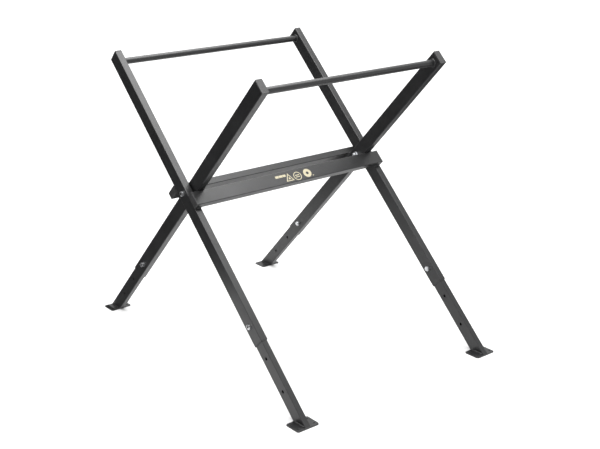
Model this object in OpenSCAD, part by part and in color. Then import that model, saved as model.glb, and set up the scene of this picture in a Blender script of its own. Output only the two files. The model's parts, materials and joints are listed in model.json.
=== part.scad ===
// Folding sawhorse: two steel frames crossing in an X, with telescopic legs.
// Units are millimetres. X runs along the bars, -Y is the front, +Z is up.
// The origin is on the floor, under the middle of the pivot line.
// The outer frame leans back from its front feet, the inner frame leans forward from
// its back feet. Both are built from one size of rectangular steel tube.

/* [Frame] */
// Outer frame, outer face to outer face
frame_width = 646; // [400:2:1000]
// Angle of every leg to the vertical when open
leg_angle = 45; // [30:1:50]
// Height of the pivot line above the floor when open
pivot_height = 480; // [300:5:650]
// Pivot line to the top end of a leg, along the leg
upper_arm = 460; // [300:5:600]
// Pivot line to the lower end of an upper tube, along the leg
lower_arm = 452; // [300:2:550]
// Side gap between the outer and the inner legs
frame_gap = 3; // [1:0.5:8]

/* [Leg tube] */
// Broad face of the leg tube
tube_broad = 40; // [25:1:60]
// Narrow face of the leg tube
tube_narrow = 20; // [15:1:40]
// Wall of the leg tube
tube_wall = 1.5; // [1:0.1:2.5]
// Outer corner radius of the leg tube
tube_corner = 1.8; // [1.7:0.1:6]
// Thickness of the flange of a plastic end cap
cap_flange = 3; // [1:0.5:6]
// Depth of the part of the cap inside the tube
cap_depth = 12; // [6:1:25]

/* [Extensions] */
// Broad face of the sliding tube
slide_broad = 36.4; // [20:1:55]
// Narrow face of the sliding tube
slide_narrow = 16.4; // [10:1:35]
// Outer corner radius of the sliding tube
slide_corner = 1.8; // [1.6:0.1:5]
// Wall of the sliding tube
slide_wall = 1.5; // [1:0.1:2.5]
// Pivot line to the hidden top end of the sliding tube, along the leg
slide_top = 352; // [250:2:400]
// Pivot line to the lock bolt, along the leg
lock_arm = 402; // [300:2:500]
// Distance between two height holes
hole_pitch = 92; // [50:1:120]
// Diameter of the height holes
hole_d = 8.5; // [5:0.1:12]

/* [Bars and beams] */
// Diameter of the round top bars
bar_d = 18; // [12:1:30]
// Wall of the round top bars
bar_wall = 1.5; // [1:0.1:3]
// Pivot line to the axis of a top bar, along the leg
bar_arm = 436; // [280:2:590]
// Free gap between a beam and the leg it stops
beam_gap = 0.5; // [0.3:0.1:2]

/* [Feet] */
// Foot plate along X
foot_x = 67; // [40:1:120]
// Foot plate along Y
foot_y = 50; // [30:1:100]
// Thickness of the foot plate
foot_t = 3; // [2:0.5:6]
// Corner cut of the foot plate
foot_corner = 4; // [1:0.5:10]
// Hole in the foot plate
foot_hole_d = 5; // [3:0.5:10]
// Hole spacing of the foot plate along X
foot_hole_x = 49; // [20:1:100]
// Hole spacing of the foot plate along Y
foot_hole_y = 28; // [15:1:80]

/* [Fasteners] */
// Shank of the pivot and lock bolts
bolt_d = 8; // [5:0.5:12]
// Head of the bolts
head_d = 14; // [10:0.5:24]
// Height of the bolt heads
head_h = 5.5; // [2:0.1:10]
// Nut across the flats
nut_flats = 13; // [8:1:24]
// Height of the nuts
nut_h = 8; // [4:0.5:12]
// Washer under a nut
washer_d = 18; // [12:1:30]
// Thickness of a washer
washer_t = 1.6; // [0.8:0.1:3]
// Radial play of the pivot bolt in the inner frame
pivot_play = 0.05; // [0.02:0.01:0.1]
// Free gap beside the inner leg, at the spacer and at the washer
side_play = 0.3; // [0.3:0.05:1]

/* [Hidden] */
$fn = 64;
eps = 0.01;
x_out = frame_width / 2;
x_outer = x_out - tube_narrow / 2;
x_inner = x_out - tube_narrow - frame_gap - tube_narrow / 2;
half_t = tube_narrow / 2;
half_b = tube_broad / 2;
beam_top = half_b + beam_gap;
beam_end = x_out - cap_flange;
slide_end = pivot_height / cos(leg_angle);
sleeve_d = 12;

// Rectangle with round corners, as squares and circles
module round_rect(x, y, r) {
    square([x - 2 * r, y], center = true);
    square([x, y - 2 * r], center = true);
    for (i = [-1, 1], j = [-1, 1])
        translate([i * (x / 2 - r), j * (y / 2 - r)]) circle(r);
}

// Wall of a rectangular tube
module tube_section(x, y, r, wall) {
    difference() {
        round_rect(x, y, r);
        round_rect(x - 2 * wall, y - 2 * wall, r - wall);
    }
}

// Frame placings: local +Z runs up the leg from the pivot line
module on_outer() {
    translate([0, 0, pivot_height]) rotate([-leg_angle, 0, 0]) children();
}
module on_inner() {
    translate([0, 0, pivot_height]) rotate([leg_angle, 0, 0]) children();
}

// Cylinder along +X
module rod_x(x, d, len) {
    translate([x, 0, 0]) rotate([0, 90, 0]) cylinder(d = d, h = len);
}

// Upper leg tube, standing on the pivot line at x; holes for the pivot and the lock bolt
module leg_tube(x, pivot_hole) {
    difference() {
        translate([x, 0, -lower_arm])
            linear_extrude(lower_arm + upper_arm - cap_flange)
                tube_section(tube_narrow, tube_broad, tube_corner, tube_wall);
        rod_x(x - half_t - 1, pivot_hole, tube_narrow + 2);
        translate([0, 0, -lock_arm]) rod_x(x - half_t - 1, bolt_d, tube_narrow + 2);
    }
}

// Plastic end cap for a leg or beam tube: flange on top, hollow plug below, at z = 0
module end_cap() {
    linear_extrude(cap_flange) round_rect(tube_narrow, tube_broad, tube_corner);
    translate([0, 0, -cap_depth])
        linear_extrude(cap_depth)
            tube_section(tube_narrow - 2 * tube_wall, tube_broad - 2 * tube_wall,
                         tube_corner - tube_wall, 1.2);
}

module leg_cap(x) {
    translate([x, 0, upper_arm - cap_flange]) end_cap();
}

// Round top bar between the inner faces of two legs
module top_bar(inner_face) {
    translate([-inner_face, 0, bar_arm]) rotate([0, 90, 0]) difference() {
        cylinder(d = bar_d, h = 2 * inner_face);
        translate([0, 0, -1]) cylinder(d = bar_d - 2 * bar_wall, h = 2 * inner_face + 2);
    }
}

// Cross beam of leg tube, lying on one broad side of two legs just below the pivot line
module cross_beam(side) {
    translate([-beam_end, side * (half_b + half_t), -beam_top - half_b])
        rotate([90, 0, 90])
            linear_extrude(2 * beam_end)
                tube_section(tube_narrow, tube_broad, tube_corner, tube_wall);
}

module beam_cap(side, end) {
    translate([end * beam_end, side * (half_b + half_t), -beam_top - half_b])
        mirror([end < 0 ? 1 : 0, 0, 0]) rotate([90, 0, 90]) end_cap();
}

// Low domed head with a hexagon socket; the shank runs towards +X from the head face at x
module button_bolt(x, len) {
    rod_x(x, bolt_d, len);
    difference() {
        intersection() {
            rod_x(x - head_h, head_d, head_h);
            translate([x + 12.6, 0, 0]) sphere(r = 18.2);
        }
        translate([x - head_h - 1, 0, 0])
            rotate([0, 90, 0]) cylinder(d = 7.4, h = 5.2, $fn = 6);
    }
}

// Hexagon nut with a round collar on its free side; seat at x, growing towards +X
module lock_nut_body(x) {
    difference() {
        union() {
            translate([x, 0, 0]) rotate([0, 90, 0])
                cylinder(d = nut_flats / cos(30), h = nut_h - 2, $fn = 6);
            rod_x(x, nut_flats - 1.4, nut_h);
        }
        rod_x(x - 1, bolt_d, nut_h + 2);
    }
}

module ring_x(x, d, bore, len) {
    difference() {
        rod_x(x, d, len);
        rod_x(x - 1, bore, len + 2);
    }
}

// Pivot parts for the left side; the right side is the mirror image
module pivot_bolt_one() {
    on_outer() button_bolt(-x_out, tube_narrow + frame_gap + tube_narrow + side_play
                           + washer_t + nut_h + 2);
}
module pivot_spacer_one() {
    on_outer() ring_x(-x_out + tube_narrow, 24, bolt_d, frame_gap - side_play);
}
module pivot_sleeve_one() {
    on_inner() ring_x(-x_inner - half_t, sleeve_d, bolt_d + 2 * pivot_play, tube_narrow);
}
module pivot_washer_one() {
    on_outer() ring_x(-x_inner + half_t + side_play, washer_d, bolt_d, washer_t);
}
module pivot_nut_one() {
    on_outer() lock_nut_body(-x_inner + half_t + side_play + washer_t);
}

// Sliding leg tube: square cut on top, cut to the floor plate below, with three height holes
module slide_tube(x) {
    difference() {
        translate([x, 0, -slide_end - half_b - 10])
            linear_extrude(slide_end + half_b + 10 - slide_top)
                tube_section(slide_narrow, slide_broad, slide_corner, slide_wall);
        for (i = [0, 1, 2])
            translate([0, 0, -lock_arm - i * hole_pitch]) rod_x(x - half_t, hole_d, tube_narrow);
    }
}
module above_plate() {
    intersection() {
        children();
        translate([-500, -1000, foot_t]) cube([1000, 2000, 1000]);
    }
}

// Foot plate flat on the floor, with cut corners and four holes
module foot_plate(x, y) {
    cx = foot_x / 2;
    cy = foot_y / 2;
    c = foot_corner;
    translate([x, y, 0]) linear_extrude(foot_t) difference() {
        polygon([[-cx + c, -cy], [cx - c, -cy], [cx, -cy + c], [cx, cy - c],
                 [cx - c, cy], [-cx + c, cy], [-cx, cy - c], [-cx, -cy + c]]);
        for (i = [-1, 1], j = [-1, 1])
            translate([i * foot_hole_x / 2, j * foot_hole_y / 2]) circle(d = foot_hole_d);
    }
}

// Lock bolt and lock nut: seated on the two side faces of an upper tube
module lock_bolt_one(x) {
    translate([0, 0, -lock_arm]) button_bolt(x - half_t, tube_wall);
}
module lock_nut_one(x) {
    translate([0, 0, -lock_arm]) {
        lock_nut_body(x + half_t);
        rod_x(x + half_t - tube_wall, bolt_d, tube_wall + nut_h + 1.5);
    }
}

steel = [0.16, 0.16, 0.17];
plastic = [0.10, 0.10, 0.10];
zinc = [0.75, 0.75, 0.77];
nylon = [0.12, 0.12, 0.12];

// Outer frame
module outer_leg_left() { color(steel) on_outer() leg_tube(-x_outer, bolt_d); }
module outer_leg_right() { color(steel) on_outer() leg_tube(x_outer, bolt_d); }
module outer_cap_left() { color(plastic) on_outer() leg_cap(-x_outer); }
module outer_cap_right() { color(plastic) on_outer() leg_cap(x_outer); }
module rear_top_bar() { color(steel) on_outer() top_bar(x_outer - half_t); }
module front_beam() { color(steel) on_outer() cross_beam(-1); }
module front_beam_cap_left() { color(plastic) on_outer() beam_cap(-1, -1); }
module front_beam_cap_right() { color(plastic) on_outer() beam_cap(-1, 1); }

// Inner frame
module inner_leg_left() { color(steel) on_inner() leg_tube(-x_inner, sleeve_d); }
module inner_leg_right() { color(steel) on_inner() leg_tube(x_inner, sleeve_d); }
module inner_cap_left() { color(plastic) on_inner() leg_cap(-x_inner); }
module inner_cap_right() { color(plastic) on_inner() leg_cap(x_inner); }
module front_top_bar() { color(steel) on_inner() top_bar(x_inner - half_t); }
module rear_beam() { color(steel) on_inner() cross_beam(1); }
module rear_beam_cap_left() { color(plastic) on_inner() beam_cap(1, -1); }
module rear_beam_cap_right() { color(plastic) on_inner() beam_cap(1, 1); }

// Pivot
module pivot_bolt_left() { color(zinc) pivot_bolt_one(); }
module pivot_bolt_right() { color(zinc) mirror([1, 0, 0]) pivot_bolt_one(); }
module pivot_spacer_left() { color(nylon) pivot_spacer_one(); }
module pivot_spacer_right() { color(nylon) mirror([1, 0, 0]) pivot_spacer_one(); }
module pivot_sleeve_left() { color(zinc) pivot_sleeve_one(); }
module pivot_sleeve_right() { color(zinc) mirror([1, 0, 0]) pivot_sleeve_one(); }
module pivot_washer_left() { color(zinc) pivot_washer_one(); }
module pivot_washer_right() { color(zinc) mirror([1, 0, 0]) pivot_washer_one(); }
module pivot_nut_left() { color(zinc) pivot_nut_one(); }
module pivot_nut_right() { color(zinc) mirror([1, 0, 0]) pivot_nut_one(); }

// Telescopic legs and feet
module slide_front_left() { color(steel) above_plate() on_outer() slide_tube(-x_outer); }
module slide_front_right() { color(steel) above_plate() on_outer() slide_tube(x_outer); }
module slide_rear_left() { color(steel) above_plate() on_inner() slide_tube(-x_inner); }
module slide_rear_right() { color(steel) above_plate() on_inner() slide_tube(x_inner); }
foot_arm = pivot_height * tan(leg_angle);
module foot_front_left() { color(steel) foot_plate(-x_outer, -foot_arm); }
module foot_front_right() { color(steel) foot_plate(x_outer, -foot_arm); }
module foot_rear_left() { color(steel) foot_plate(-x_inner, foot_arm); }
module foot_rear_right() { color(steel) foot_plate(x_inner, foot_arm); }

// Lock bolts and nuts: heads on the outer faces, nuts on the inner faces
module lock_bolt_front_left() { color(zinc) on_outer() lock_bolt_one(-x_outer); }
module lock_bolt_front_right() { color(zinc) mirror([1, 0, 0]) on_outer() lock_bolt_one(-x_outer); }
module lock_bolt_rear_left() { color(zinc) on_inner() lock_bolt_one(-x_inner); }
module lock_bolt_rear_right() { color(zinc) mirror([1, 0, 0]) on_inner() lock_bolt_one(-x_inner); }
module lock_nut_front_left() { color(zinc) on_outer() lock_nut_one(-x_outer); }
module lock_nut_front_right() { color(zinc) mirror([1, 0, 0]) on_outer() lock_nut_one(-x_outer); }
module lock_nut_rear_left() { color(zinc) on_inner() lock_nut_one(-x_inner); }
module lock_nut_rear_right() { color(zinc) mirror([1, 0, 0]) on_inner() lock_nut_one(-x_inner); }

outer_leg_left();
outer_leg_right();
outer_cap_left();
outer_cap_right();
rear_top_bar();
front_beam();
front_beam_cap_left();
front_beam_cap_right();
inner_leg_left();
inner_leg_right();
inner_cap_left();
inner_cap_right();
front_top_bar();
rear_beam();
rear_beam_cap_left();
rear_beam_cap_right();
pivot_bolt_left();
pivot_bolt_right();
pivot_spacer_left();
pivot_spacer_right();
pivot_sleeve_left();
pivot_sleeve_right();
pivot_washer_left();
pivot_washer_right();
pivot_nut_left();
pivot_nut_right();
slide_front_left();
slide_front_right();
slide_rear_left();
slide_rear_right();
foot_front_left();
foot_front_right();
foot_rear_left();
foot_rear_right();
lock_bolt_front_left();
lock_bolt_front_right();
lock_bolt_rear_left();
lock_bolt_rear_right();
lock_nut_front_left();
lock_nut_front_right();
lock_nut_rear_left();
lock_nut_rear_right();
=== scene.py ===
"""Folding sawhorse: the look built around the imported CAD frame.

Two welded tube frames cross at a pivot bolt on each side. Each leg carries a sliding leg with a
foot plate, held by a lock bolt. Row frame: X across the sawhorse, Y from front to rear, Z up.
All lengths are in metres.
"""

import json
import math

import bmesh
import bpy
from mathutils import Matrix, Vector


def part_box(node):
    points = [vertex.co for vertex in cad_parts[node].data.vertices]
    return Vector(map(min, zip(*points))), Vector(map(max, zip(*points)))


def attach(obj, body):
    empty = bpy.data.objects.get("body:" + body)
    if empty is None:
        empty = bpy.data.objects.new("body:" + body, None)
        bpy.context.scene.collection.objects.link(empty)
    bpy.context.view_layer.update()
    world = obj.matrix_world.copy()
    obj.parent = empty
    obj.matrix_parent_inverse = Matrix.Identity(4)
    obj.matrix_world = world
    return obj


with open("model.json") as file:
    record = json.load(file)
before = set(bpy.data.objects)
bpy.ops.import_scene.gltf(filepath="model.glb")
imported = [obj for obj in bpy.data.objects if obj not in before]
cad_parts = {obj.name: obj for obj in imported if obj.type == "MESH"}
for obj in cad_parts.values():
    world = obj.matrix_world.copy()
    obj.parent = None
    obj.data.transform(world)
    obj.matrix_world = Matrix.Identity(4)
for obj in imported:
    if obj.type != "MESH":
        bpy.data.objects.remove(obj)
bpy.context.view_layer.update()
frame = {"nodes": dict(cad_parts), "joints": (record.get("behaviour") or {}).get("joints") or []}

MM = 0.001
X_AXIS = Vector((1, 0, 0))
Z_AXIS = Vector((0, 0, 1))
SIDES = (("left", -1), ("right", 1))

joints = {j["name"]: j for j in frame["joints"]}
PIVOT = Vector(joints["frame_fold"]["pos_m"])


# ---------------------------------------------------------------- places read from the frame


def span(node, axis):
    """Lowest and highest reach of a CAD node along an axis, from the pivot."""
    reach = [(v.co - PIVOT).dot(axis) for v in frame["nodes"][node].data.vertices]
    return min(reach), max(reach)


class Plane:
    """One crossing frame: up runs along its legs, out leaves the faces that its beam lies on."""

    def __init__(self, body, slide_joint, turn, leg, beam, bar, slides):
        self.body = body
        self.up = Vector(joints[slide_joint]["axis"]).normalized()
        self.out = (X_AXIS.cross(self.up) * turn).normalized()
        self.leg, self.beam, self.bar, self.slides = leg, beam, bar, slides

    def point(self, x, up, out):
        return PIVOT + X_AXIS * x + self.up * up + self.out * out


OUTER = Plane(
    "outer_frame", "slide_front_left", 1, "outer_leg", "front_beam", "rear_top_bar", "front"
)
INNER = Plane(
    "inner_frame", "slide_rear_left", -1, "inner_leg", "rear_beam", "front_top_bar", "rear"
)
PLANES = (OUTER, INNER)


# ---------------------------------------------------------------- material helpers


class Nodes:
    """A material's node tree, with short calls to add and link nodes."""

    def __init__(self, name):
        self.material = bpy.data.materials.new(name)
        self.material.use_nodes = True
        self.tree = self.material.node_tree
        self.shader = self.tree.nodes["Principled BSDF"]
        self.coords = self.add("ShaderNodeTexCoord").outputs["Object"]

    def add(self, kind, **settings):
        node = self.tree.nodes.new(kind)
        for key, value in settings.items():
            setattr(node, key, value)
        return node

    def link(self, out, into):
        self.tree.links.new(out, into)

    def mapped(self, scale=(1, 1, 1), location=(0, 0, 0), rotation=(0, 0, 0)):
        node = self.add("ShaderNodeMapping")
        node.inputs["Location"].default_value = location
        node.inputs["Rotation"].default_value = rotation
        node.inputs["Scale"].default_value = scale
        self.link(self.coords, node.inputs["Vector"])
        return node.outputs["Vector"]

    def noise(self, scale, detail=2.0, rough=0.5, vector=None):
        node = self.add("ShaderNodeTexNoise")
        node.inputs["Scale"].default_value = scale
        node.inputs["Detail"].default_value = detail
        node.inputs["Roughness"].default_value = rough
        self.link(vector or self.coords, node.inputs["Vector"])
        return node.outputs["Fac"]

    def ranged(self, value, low, high, new_low, new_high):
        node = self.add("ShaderNodeMapRange")
        for key, number in (
            ("From Min", low),
            ("From Max", high),
            ("To Min", new_low),
            ("To Max", new_high),
        ):
            node.inputs[key].default_value = number
        self.link(value, node.inputs["Value"])
        return node.outputs["Result"]

    def blend(self, factor, first, second):
        """Colour from first to second as factor goes from 0 to 1; either may be linked."""
        node = self.add("ShaderNodeMix", data_type="RGBA")
        self.link(factor, node.inputs["Factor"])
        for colour, socket in ((first, node.inputs[6]), (second, node.inputs[7])):
            if isinstance(colour, tuple):
                socket.default_value = (*colour, 1)
            else:
                self.link(colour, socket)
        return node.outputs[2]

    def times(self, first, second):
        node = self.add("ShaderNodeMath", operation="MULTIPLY")
        self.link(first, node.inputs[0])
        if isinstance(second, float):
            node.inputs[1].default_value = second
        else:
            self.link(second, node.inputs[1])
        return node.outputs[0]

    def plus(self, first, second):
        node = self.add("ShaderNodeMath", operation="ADD")
        self.link(first, node.inputs[0])
        self.link(second, node.inputs[1])
        return node.outputs[0]

    def bump(self, height, distance, strength=1.0, after=None):
        node = self.add("ShaderNodeBump")
        node.inputs["Strength"].default_value = strength
        node.inputs["Distance"].default_value = distance
        self.link(height, node.inputs["Height"])
        if after is not None:
            self.link(after, node.inputs["Normal"])
        return node.outputs["Normal"]

    def finish(self, colour, roughness, normal=None, **uniform):
        self.link(colour, self.shader.inputs["Base Color"])
        self.link(roughness, self.shader.inputs["Roughness"])
        if normal is not None:
            self.link(normal, self.shader.inputs["Normal"])
        for key, value in uniform.items():
            self.shader.inputs[key.replace("_", " ")].default_value = value
        return self.material


def edge_highlight_mask(n, reach):
    """Mask for the painted edge highlights: 0 on flat faces, 1 on edges within reach, broken up by
    noise.
    """
    rounded = n.add("ShaderNodeBevel", samples=4)
    rounded.inputs["Radius"].default_value = reach
    facing = n.add("ShaderNodeVectorMath", operation="DOT_PRODUCT")
    n.link(rounded.outputs["Normal"], facing.inputs[0])
    n.link(n.add("ShaderNodeNewGeometry").outputs["Normal"], facing.inputs[1])
    near = n.ranged(facing.outputs["Value"], 1.0, 0.93, 0.0, 1.0)
    patchy = n.ranged(n.noise(140, 4, 0.7), 0.40, 0.65, 0.15, 1.0)
    return n.times(near, patchy)


# ---------------------------------------------------------------- materials

COAT_DARK = (0.0065, 0.0067, 0.0072)
COAT_LIGHT = (0.0110, 0.0112, 0.0118)
# Pale grey for specks and rub marks in the coat, also used as the painted highlight along the
# edges.
RUB_AND_HIGHLIGHT_GREY = (0.060, 0.060, 0.062)
COAT_EDGE = 0.9 * MM
PLASTIC_EDGE = 0.8 * MM
ZINC_EDGE = 0.5 * MM


def powder_coat():
    """Satin black powder coat: orange peel, a soft drift in tone, and faintly lighter edges painted
    as a highlight.
    """
    n = Nodes("powder_coat")
    tone = n.ranged(n.noise(11, 4, 0.6), 0.35, 0.65, 0.0, 1.0)
    base = n.blend(tone, COAT_DARK, COAT_LIGHT)
    speck = n.ranged(n.noise(620, 1), 0.70, 0.76, 0.0, 0.35)
    base = n.blend(speck, base, RUB_AND_HIGHLIGHT_GREY)
    # Painted highlight: edges lightened toward the pale grey.
    base = n.blend(n.times(edge_highlight_mask(n, COAT_EDGE), 0.55), base, RUB_AND_HIGHLIGHT_GREY)
    sheen = n.plus(
        n.ranged(n.noise(24, 3, 0.6), 0.3, 0.7, 0.33, 0.39), n.ranged(speck, 0, 1, 0, 0.1)
    )
    peel = n.bump(n.noise(620, 2, 0.45), 0.00018, 0.50)
    texture = n.bump(n.noise(2400, 2, 0.5), 0.00004, 0.35, after=peel)
    return n.finish(base, sheen, texture)


def sliding_coat(up):
    """The same coat on the sliding legs, with fine lengthwise rub marks from the outer tube."""
    n = Nodes("sliding_coat_front" if up.y > 0 else "sliding_coat_rear")
    lengthwise = n.mapped(
        scale=(520, 520, 7), rotation=(math.atan2(up.y, up.z), 0, 0)
    )
    rubs = n.ranged(n.noise(1.0, 3, 0.6, lengthwise), 0.60, 0.74, 0.0, 1.0)
    where = n.ranged(n.noise(6, 2), 0.42, 0.62, 0.15, 1.0)
    rubs = n.times(rubs, where)
    tone = n.ranged(n.noise(11, 4, 0.6), 0.35, 0.65, 0.0, 1.0)
    base = n.blend(n.times(rubs, 0.55), n.blend(tone, COAT_DARK, COAT_LIGHT), RUB_AND_HIGHLIGHT_GREY)
    # Painted highlight: edges lightened toward the pale grey.
    base = n.blend(n.times(edge_highlight_mask(n, COAT_EDGE), 0.55), base, RUB_AND_HIGHLIGHT_GREY)
    rough = n.ranged(rubs, 0, 1, 0.36, 0.27)
    peel = n.bump(n.noise(620, 2, 0.45), 0.00018, 0.45)
    scored = n.bump(rubs, -0.00003, 0.5, after=peel)
    return n.finish(base, rough, scored)


def moulded_plastic():
    """Black polyethylene caps: fine spark-eroded grain, and corners painted lighter as a highlight.
    """
    n = Nodes("moulded_plastic")
    tone = n.ranged(n.noise(70, 3), 0.35, 0.65, 0.0, 1.0)
    base = n.blend(tone, (0.016, 0.016, 0.016), (0.026, 0.026, 0.027))
    # Painted highlight: corners lightened toward a paler black.
    base = n.blend(n.times(edge_highlight_mask(n, PLASTIC_EDGE), 0.6), base, (0.05, 0.05, 0.05))
    rough = n.ranged(n.noise(1300, 2, 0.6), 0.3, 0.7, 0.50, 0.62)
    grain = n.bump(n.noise(2100, 3, 0.6), 0.00006, 0.5)
    return n.finish(base, rough, grain)


SOCKET_MIDDLE = 3.0 * MM
# Reach and colour of the painted shade that darkens a bolt's socket.
SHADE_CLEAR, SHADE_FULL = 4.5 * MM, 4.0 * MM
SOCKET_SHADE = (0.035, 0.034, 0.032)


def zinc(node):
    """Bright zinc plate with turned rings about the fastener's own axis, which lies along X.

    Painted shade darkens the socket in a bolt's head.
    """
    low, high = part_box(node)
    centre = (low + high) / 2
    n = Nodes("zinc_" + node)
    around = n.mapped(location=tuple(-centre))
    rings = n.add("ShaderNodeTexWave", wave_type="RINGS", rings_direction="X")
    rings.inputs["Scale"].default_value = 900
    rings.inputs["Distortion"].default_value = 1.5
    rings.inputs["Detail"].default_value = 2
    n.link(around, rings.inputs["Vector"])
    turned = rings.outputs["Fac"]
    patch = n.ranged(n.noise(260, 4, 0.6), 0.35, 0.68, 0.0, 1.0)
    base = n.blend(patch, (0.70, 0.71, 0.72), (0.50, 0.51, 0.53))
    # Painted highlight: edges lightened toward near white.
    base = n.blend(n.times(edge_highlight_mask(n, ZINC_EDGE), 0.5), base, (0.82, 0.82, 0.82))
    rough = n.plus(n.ranged(patch, 0, 1, 0.22, 0.36), n.ranged(turned, 0, 1, 0, 0.05))
    normal = n.bump(turned, 0.00003, 0.35)
    normal = n.bump(n.noise(1500, 2), 0.00003, 0.3, after=normal)
    if "bolt" in node:
        head = low.x + SOCKET_MIDDLE if "left" in node else high.x - SOCKET_MIDDLE
        # Painted shade: darker and rougher within a few millimetres of a point inside the head.
        away = n.add("ShaderNodeVectorMath", operation="LENGTH")
        n.link(n.mapped(location=(-head, -centre.y, -centre.z)), away.inputs[0])
        socket_shade = n.ranged(away.outputs["Value"], SHADE_CLEAR, SHADE_FULL, 0.0, 1.0)
        base = n.blend(socket_shade, base, SOCKET_SHADE)
        rough = n.plus(rough, n.times(socket_shade, 0.35))
    return n.finish(base, rough, normal, Metallic=1.0)


def screen_ink():
    """Pale screen-printed ink, thin enough for the black to show in pinholes."""
    n = Nodes("screen_ink")
    thin = n.ranged(n.noise(900, 3, 0.65), 0.60, 0.74, 0.0, 0.65)
    warm = n.blend(n.noise(120, 2), (0.42, 0.37, 0.23), (0.50, 0.46, 0.33))
    base = n.blend(thin, warm, (0.05, 0.05, 0.045))
    rough = n.ranged(n.noise(400, 2), 0.3, 0.7, 0.42, 0.56)
    return n.finish(base, rough, n.bump(n.noise(1600, 2), 0.00003, 0.4))


def studio_floor():
    """Plain pale floor."""
    n = Nodes("studio_floor")
    base = n.blend(n.noise(1.3, 3), (0.72, 0.72, 0.72), (0.75, 0.75, 0.75))
    rough = n.ranged(n.noise(40, 3), 0.3, 0.7, 0.62, 0.70)
    return n.finish(base, rough, n.bump(n.noise(300, 2), 0.0002, 0.1))


# ---------------------------------------------------------------- finish on the CAD nodes

SAME_POINT = 0.01 * MM
FLAT_ANGLE = math.radians(1)
EDGE_ANGLE = math.radians(38)
EDGE_STEPS = 3
NORMAL_WEIGHT = 60
BREAK_TUBE = 0.45 * MM
BREAK_HARDWARE = 0.12 * MM
BREAK_PLASTIC = 0.12 * MM
BREAK_SLIDE = 0.30 * MM


def round_edges(node, width):
    """Joins split vertices, clears flat faces of triangles and breaks the sharp edges."""
    weld = node.modifiers.new("weld", "WELD")
    weld.merge_threshold = SAME_POINT
    flat = node.modifiers.new("flat_faces", "DECIMATE")
    flat.decimate_type = "DISSOLVE"
    flat.angle_limit = FLAT_ANGLE
    bevel = node.modifiers.new("edge_break", "BEVEL")
    bevel.width = width
    bevel.segments = EDGE_STEPS
    bevel.limit_method = "ANGLE"
    bevel.angle_limit = EDGE_ANGLE
    bevel.use_clamp_overlap = False
    bevel.miter_outer = "MITER_SHARP"
    bevel.loop_slide = False
    bevel.face_strength_mode = "FSTR_ALL"
    smooth = node.modifiers.new("normals", "WEIGHTED_NORMAL")
    smooth.use_face_influence = True
    smooth.weight = NORMAL_WEIGHT


def finish_of(node, coat, slide_coats, plastic):
    """The material and the edge break that a CAD node gets, from what its name says it is."""
    if any(word in node for word in ("bolt", "nut", "washer", "sleeve")):
        return zinc(node), BREAK_HARDWARE
    if "cap" in node or "spacer" in node:
        return plastic, BREAK_PLASTIC
    if node.startswith("slide_"):
        return slide_coats["front" if "front" in node else "rear"], BREAK_SLIDE
    return coat, BREAK_TUBE


def dress_cad_nodes(coat, slide_coats, plastic):
    for name in sorted(frame["nodes"]):
        node = frame["nodes"][name]
        material, width = finish_of(name, coat, slide_coats, plastic)
        node.data.materials.clear()
        node.data.materials.append(material)
        round_edges(node, width)


# ---------------------------------------------------------------- weld beads

BEAD_STEP = 0.45 * MM
RIPPLE_PITCH = 2.9 * MM
BEAD_SIDES = 12
BEAD_THIN, BEAD_RIPPLE = 0.92, 0.09
BEAD_LEAN = 0.22


def resampled(points, closed, step):
    """Points evenly spaced along a polyline."""
    path = list(points) + ([points[0]] if closed else [])
    lengths = [0.0]
    for a, b in zip(path, path[1:]):
        lengths.append(lengths[-1] + (b - a).length)
    count = max(8, round(lengths[-1] / step))
    even, leg = [], 0
    for i in range(count if closed else count + 1):
        want = lengths[-1] * i / count
        while leg < len(path) - 2 and lengths[leg + 1] < want:
            leg += 1
        share = (want - lengths[leg]) / max(lengths[leg + 1] - lengths[leg], 1e-12)
        even.append(path[leg].lerp(path[leg + 1], share))
    return even, lengths[-1]


def bead(name, body, points, radius, closed, normal, material, phase=0.0):
    """A weld bead: overlapping ripples swept along a path. normal is any direction off the path."""
    path, length = resampled(points, closed, BEAD_STEP)
    ripples = max(3, round(length / RIPPLE_PITCH))
    count = len(path)
    mesh = bmesh.new()
    rings = []
    for i, centre in enumerate(path):
        before = path[i - 1] if (i or closed) else path[i]
        after = path[(i + 1) % count] if (closed or i + 1 < count) else path[i]
        along = (after - before).normalized()
        side = along.cross(normal).normalized()
        lift = side.cross(along).normalized()
        turn = i / count if closed else i / (count - 1)
        scale = (turn * ripples + phase) % 1.0
        swell = BEAD_THIN + BEAD_RIPPLE * math.sqrt(max(0.0, 1 - (2 * scale - 1) ** 2))
        swell *= 1 + 0.05 * math.sin(turn * 41 + phase * 7) + 0.03 * math.sin(turn * 97 + phase)
        if not closed:
            end = min(turn, 1 - turn) * length / radius
            swell *= math.sqrt(min(1.0, max(0.02, end)))
        ring = []
        for k in range(BEAD_SIDES):
            angle = 2 * math.pi * k / BEAD_SIDES
            lean = along * (BEAD_LEAN * radius * math.cos(angle))
            ring.append(
                mesh.verts.new(
                    centre
                    + (side * math.sin(angle) + lift * math.cos(angle)) * radius * swell
                    + (lean if closed or 2 < i < count - 3 else Vector())
                )
            )
        rings.append(ring)
    pairs = list(zip(rings, rings[1:])) + ([(rings[-1], rings[0])] if closed else [])
    for a, b in pairs:
        for k in range(BEAD_SIDES):
            m = (k + 1) % BEAD_SIDES
            mesh.faces.new((a[k], a[m], b[m], b[k]))
    if not closed:
        mesh.faces.new(list(reversed(rings[0])))
        mesh.faces.new(rings[-1])
    bmesh.ops.recalc_face_normals(mesh, faces=mesh.faces)
    return piece_from(mesh, name, body, material)


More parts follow.
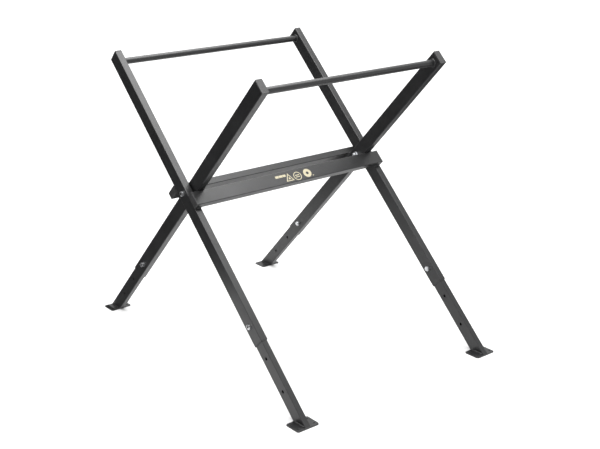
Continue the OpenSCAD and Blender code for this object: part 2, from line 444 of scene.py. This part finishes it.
def piece_from(mesh, name, body, material):
    data = bpy.data.meshes.new(name)
    mesh.to_mesh(data)
    mesh.free()
    for polygon in data.polygons:
        polygon.use_smooth = True
    data.materials.append(material)
    piece = bpy.data.objects.new(name, data)
    bpy.context.scene.collection.objects.link(piece)
    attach(piece, body)
    return piece


def rounded_corners(corners, radius, closed, steps=6):
    """A polyline with its corners replaced by arcs of about that radius."""
    made, count = [], len(corners)
    for i, corner in enumerate(corners):
        if not closed and i in (0, count - 1):
            made.append(corner)
            continue
        to_last = (corners[i - 1] - corner).normalized() * radius
        to_next = (corners[(i + 1) % count] - corner).normalized() * radius
        for k in range(steps + 1):
            t = k / steps
            made.append(corner + to_last * (1 - t) ** 2 + to_next * t**2)
    return made


BAR_BEAD = 2.5 * MM
BEAM_BEAD = 1.8 * MM
FOOT_BEAD = 2.4 * MM
BEAD_OUTSET = 0.4 * MM
BEAM_CORNER = 3.0 * MM
FOOT_CORNER = 3.6 * MM
FOOT_ROOM = 1.12
BEAM_END_GAP = 1.5 * MM
RING_POINTS = 72


def weld_bar_ends(plane, coat):
    """A ring of weld where each end of the top bar meets a leg."""
    low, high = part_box(plane.bar)
    centre, radius = (low + high) / 2, (high.z - low.z) / 2
    for side, sign in SIDES:
        leg_low, leg_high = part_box(f"{plane.leg}_{side}")
        face = leg_low.x if sign > 0 else leg_high.x
        ring = [
            Vector((face, centre.y, centre.z))
            + (Vector((0, math.cos(a), math.sin(a))) * (radius + 0.3 * MM))
            for a in (2 * math.pi * k / RING_POINTS for k in range(RING_POINTS))
        ]
        name = f"weld_{plane.bar}_{side}"
        bead(name, plane.body, ring, BAR_BEAD, True, X_AXIS, coat, 0.3 * sign)


def weld_beam(plane, coat):
    """Weld around the patch where the beam lies on each leg."""
    up_low, up_high = span(plane.beam, plane.up)
    out = span(plane.beam, plane.out)[0]
    beam_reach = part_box(plane.beam)[1].x
    for side, sign in SIDES:
        leg_low, leg_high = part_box(f"{plane.leg}_{side}")
        inner, outer = sorted((abs(leg_low.x), abs(leg_high.x)))
        corner = plane.point
        if outer < beam_reach - 1 * MM:
            corners = [
                corner(sign * outer, up_high, out),
                corner(sign * inner, up_high, out),
                corner(sign * inner, up_low, out),
                corner(sign * outer, up_low, out),
            ]
            closed = True
        else:
            end = beam_reach - BEAM_END_GAP
            corners = [
                corner(sign * end, up_high, out),
                corner(sign * inner, up_high, out),
                corner(sign * inner, up_low, out),
                corner(sign * end, up_low, out),
            ]
            closed = False
        path = rounded_corners(corners, BEAM_CORNER, closed)
        name = f"weld_{plane.beam}_{side}"
        bead(name, plane.body, path, BEAM_BEAD, closed, plane.out, coat, 0.2 * sign)


def weld_foot(plane, side, sign, coat):
    """Weld around the sliding leg where it stands on its foot plate."""
    label = f"{plane.slides}_{side}"
    slide_low, slide_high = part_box(f"slide_{label}")
    foot_low, foot_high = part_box(f"foot_{label}")
    out_low, out_high = span(f"slide_{label}", plane.out)
    top = foot_high.z
    out_mid = (out_low + out_high) / 2
    reach = (top - PIVOT.z - plane.out.z * out_mid) / plane.up.z
    middle = plane.point((slide_low.x + slide_high.x) / 2, reach, out_mid)
    half_x = (slide_high.x - slide_low.x) / 2 + BEAD_OUTSET
    room = min(foot_high.y - middle.y, middle.y - foot_low.y) - FOOT_BEAD * FOOT_ROOM
    half_y = min((out_high - out_low) / 2 / plane.up.z + BEAD_OUTSET, room)
    corners = [
        Vector((middle.x + a * half_x, middle.y + b * half_y, top + 0.5 * MM))
        for a, b in ((1, 1), (-1, 1), (-1, -1), (1, -1))
    ]
    path = rounded_corners(corners, FOOT_CORNER, True)
    name = f"weld_foot_{label}"
    bead(name, f"leg_{label}", path, FOOT_BEAD, True, Z_AXIS, coat, 0.2 * sign)


# ---------------------------------------------------------------- printed marking

INK_THICKNESS = 0.12 * MM


def circle(x, y, radius, count=48, turn=0.0):
    return [
        (
            x + radius * math.cos(turn + 2 * math.pi * k / count),
            y + radius * math.sin(turn + 2 * math.pi * k / count),
        )
        for k in range(count)
    ]


def rectangle(x, y, wide, high):
    return [
        (x - wide / 2, y - high / 2),
        (x + wide / 2, y - high / 2),
        (x + wide / 2, y + high / 2),
        (x - wide / 2, y + high / 2),
    ]


def printed(name, outlines, ink):
    """Ink on the front beam: millimetres from the middle of its face. Inner loops are holes."""
    flat = bpy.data.curves.new(name, "CURVE")
    flat.dimensions = "2D"
    flat.fill_mode = "BOTH"
    flat.extrude = INK_THICKNESS / 2
    for outline in outlines:
        spline = flat.splines.new("POLY")
        spline.points.add(len(outline) - 1)
        for point, (x, y) in zip(spline.points, outline):
            point.co = (x * MM, y * MM, 0, 1)
        spline.use_cyclic_u = True
    shape = bpy.data.objects.new(name + "_outline", flat)
    bpy.context.scene.collection.objects.link(shape)
    evaluated = shape.evaluated_get(bpy.context.evaluated_depsgraph_get())
    data = bpy.data.meshes.new_from_object(evaluated)
    data.name = name
    bpy.data.objects.remove(shape)
    up_low, up_high = span(OUTER.beam, OUTER.up)
    face = span(OUTER.beam, OUTER.out)[1]
    place = Matrix((X_AXIS, OUTER.up, OUTER.out)).transposed().to_4x4()
    place.translation = OUTER.point(0, (up_low + up_high) / 2, face + 0.3 * INK_THICKNESS)
    data.transform(place)
    data.materials.clear()
    data.materials.append(ink)
    piece = bpy.data.objects.new(name, data)
    bpy.context.scene.collection.objects.link(piece)
    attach(piece, OUTER.body)
    return piece


def triangle(x, y, wide, high):
    """Upright triangle standing on y, in the middle of x."""
    return [(x - wide / 2, y), (x + wide / 2, y), (x, y + high)]


def print_marking(ink):
    """Generic pictograms in a row: bars, a delta, a ring with levels, a disc with a hexagon."""
    for k, (middle, wide) in enumerate(((-52.5, 11.0), (-40.0, 12.0), (-28.0, 10.0))):
        printed(f"marking_bar_{k}", [rectangle(middle, 6, wide, 7.0)], ink)

    x, y = -15, -13.5
    printed("marking_delta", [triangle(x, y, 27, 25), triangle(x, y + 2.4, 18.6, 17.2)], ink)
    printed("marking_delta_core", [triangle(x, y + 5.4, 8.4, 7.8)], ink)

    x, y = 14, -3.2
    printed("marking_ring", [circle(x, y, 13.2), circle(x, y, 11.0)], ink)
    for k, level_y in enumerate((2.8, -2.8)):
        printed(f"marking_level_{k}", [rectangle(x, y + level_y, 14, 2.6)], ink)

    x, y = 49.5, -1.0
    printed("marking_disc", [circle(x, y, 13.2), circle(x, y, 5.0, 6)], ink)
    printed("marking_dot", [circle(65.5, -11.5, 1.8, 24)], ink)


# ---------------------------------------------------------------- studio

FLOOR_HALF = 60.0
SOFTBOX_SIZE = 3.4
SOFTBOX_PLACE = (0.0, 0.2, 3.0)
SOFTBOX_POWER = 225.0
OVERHEAD_STRENGTH = 3.3
OVERHEAD_SPREAD = 75
WORLD_LEVEL = 1.0
FLAG_FAR = 7.0
FLAG_LOW, FLAG_HIGH = 4 * MM, 3.0


def flat_stage(name, corners, material):
    mesh = bmesh.new()
    mesh.faces.new([mesh.verts.new(corner) for corner in corners])
    data = bpy.data.meshes.new(name)
    mesh.to_mesh(data)
    mesh.free()
    data.materials.append(material)
    made = bpy.data.objects.new(name, data)
    bpy.context.scene.collection.objects.link(made)
    return made


def level(x_low, x_high, y_low, y_high, z):
    return [(x_low, y_low, z), (x_high, y_low, z), (x_high, y_high, z), (x_low, y_high, z)]


def flag_cloth():
    """Dull black cloth of the flags beside the set, which are seen only in reflections."""
    n = Nodes("flag_cloth")
    base = n.blend(n.noise(30, 3), (0.02, 0.02, 0.02), (0.04, 0.04, 0.04))
    return n.finish(base, n.ranged(n.noise(200, 2), 0.3, 0.7, 0.85, 0.95))


def studio():
    """White floor, an even overhead light, a softbox for the gloss, flags for the dark sides."""
    half, far, low, high = FLOOR_HALF, FLAG_FAR, FLAG_LOW, FLAG_HIGH
    flat_stage("floor", level(-half, half, -half, half, 0), studio_floor())
    cloth = flag_cloth()
    for name, corners in (
        ("flag_side", level(-far, -0.95, -2.0, 0.42, low)),
        ("flag_back", level(-far, -0.31, 0.38, far, low)),
        ("flag_right", level(0.80, far, -2.0, far, low)),
        ("flag_left", [(-far, -2.0, 0), (-far, far, 0), (-far, far, high), (-far, -2.0, high)]),
        ("flag_rear", [(-far, far, 0), (-0.42, far, 0), (-0.42, far, high), (-far, far, high)]),
    ):
        flag = flat_stage(name, corners, cloth)
        flag.visible_camera = flag.visible_diffuse = flag.visible_shadow = False

    world = bpy.data.worlds.new("studio")
    world.use_nodes = True
    back = world.node_tree.nodes["Background"]
    back.inputs["Color"].default_value = (1, 1, 1, 1)
    back.inputs["Strength"].default_value = WORLD_LEVEL
    bpy.context.scene.world = world

    gloss = bpy.data.lights.new("softbox", "AREA")
    gloss.shape = "SQUARE"
    gloss.size = SOFTBOX_SIZE
    gloss.energy = SOFTBOX_POWER
    softbox = bpy.data.objects.new("softbox", gloss)
    softbox.location = SOFTBOX_PLACE
    softbox.visible_diffuse = False
    bpy.context.scene.collection.objects.link(softbox)

    even = bpy.data.lights.new("overhead", "SUN")
    even.energy = OVERHEAD_STRENGTH
    even.angle = math.radians(OVERHEAD_SPREAD)
    overhead = bpy.data.objects.new("overhead", even)
    overhead.location = (0, 0, 4)
    overhead.visible_glossy = False
    bpy.context.scene.collection.objects.link(overhead)
    bpy.context.scene.view_settings.view_transform = "Standard"


CAMERA_TARGET = Vector((0.02710, -0.04876, 0.33000))
CAMERA_DISTANCE = 2.9503
CAMERA_AZIMUTH = -37.855
CAMERA_ELEVATION = 18.340
CAMERA_ROLL = -1.186
CAMERA_LENS = 62.658


def camera():
    azimuth, elevation, roll = (
        math.radians(a) for a in (CAMERA_AZIMUTH, CAMERA_ELEVATION, CAMERA_ROLL)
    )
    back = Vector(
        (
            math.sin(azimuth) * math.cos(elevation),
            -math.cos(azimuth) * math.cos(elevation),
            math.sin(elevation),
        )
    )
    right = Vector((math.cos(azimuth), math.sin(azimuth), 0))
    up = back.cross(right)
    data = bpy.data.cameras.new("camera")
    data.sensor_fit = "HORIZONTAL"
    data.sensor_width = 36.0
    data.lens = CAMERA_LENS
    data.clip_start, data.clip_end = 0.05, 100
    made = bpy.data.objects.new("camera", data)
    aim = Matrix((right, up, back)).transposed()
    made.matrix_world = (aim @ Matrix.Rotation(roll, 3, "Z")).to_4x4()
    made.location = CAMERA_TARGET + back * CAMERA_DISTANCE
    bpy.context.scene.collection.objects.link(made)
    bpy.context.scene.camera = made


# ---------------------------------------------------------------- build

camera()
studio()
black_coat = powder_coat()
dress_cad_nodes(
    black_coat,
    {"front": sliding_coat(OUTER.up), "rear": sliding_coat(INNER.up)},
    moulded_plastic(),
)
for plane in PLANES:
    weld_bar_ends(plane, black_coat)
    weld_beam(plane, black_coat)
    for side, sign in SIDES:
        weld_foot(plane, side, sign, black_coat)
print_marking(screen_ink())
